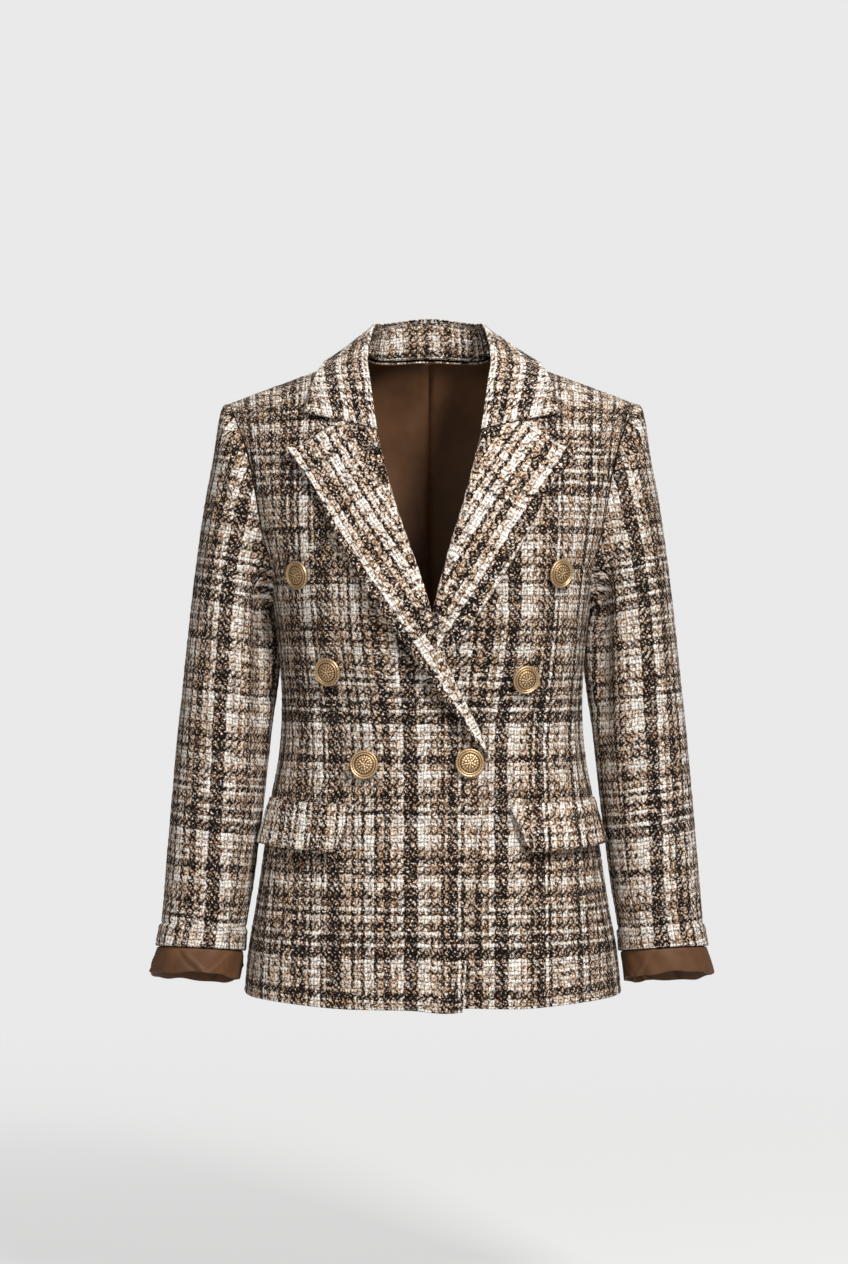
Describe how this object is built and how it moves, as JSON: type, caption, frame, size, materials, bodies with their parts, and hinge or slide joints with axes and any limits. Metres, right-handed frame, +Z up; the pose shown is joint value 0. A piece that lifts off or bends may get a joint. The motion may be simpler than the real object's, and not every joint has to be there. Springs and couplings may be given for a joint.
{
  "type": "double-breasted tweed jacket",
  "caption": "Worn-form check tweed blazer with peak lapels, flap pockets, shank buttons and turned-down lining at the cuffs, hollow inside.",
  "frame": {"origin": "midway between the two points where the shoulder line meets the neck, where a wearer's shoulders carry the jacket", "axes": "+Z up, the front faces -Y, +X is the wearer's left"},
  "size_m": [0.5396, 0.2555, 0.6576],
  "materials": {
    "tweed": "bouclé tweed check in cream, camel and dark brown",
    "lapel_tweed": "the same tweed, two layers pressed flat",
    "satin": "brown satin lining",
    "gold": "antiqued gold tone"
  },
  "bodies": {
    "root": {"front_right": "tweed", "front_left": "tweed", "side_right": "tweed", "side_left": "tweed", "back_right": "tweed", "back_left": "tweed", "sleeve_top_right": "tweed", "sleeve_top_left": "tweed", "sleeve_under_right": "tweed", "sleeve_under_left": "tweed", "lapel_right": "lapel_tweed", "lapel_left": "lapel_tweed", "collar_fall": "lapel_tweed", "collar_stand": "tweed", "flap_right": "lapel_tweed", "flap_left": "lapel_tweed", "lining_cuff_right": "satin", "lining_cuff_left": "satin", "button_1": "gold", "button_2": "gold", "button_3": "gold", "button_4": "gold", "button_5": "gold", "button_6": "gold"}
  },
  "joints": []
}
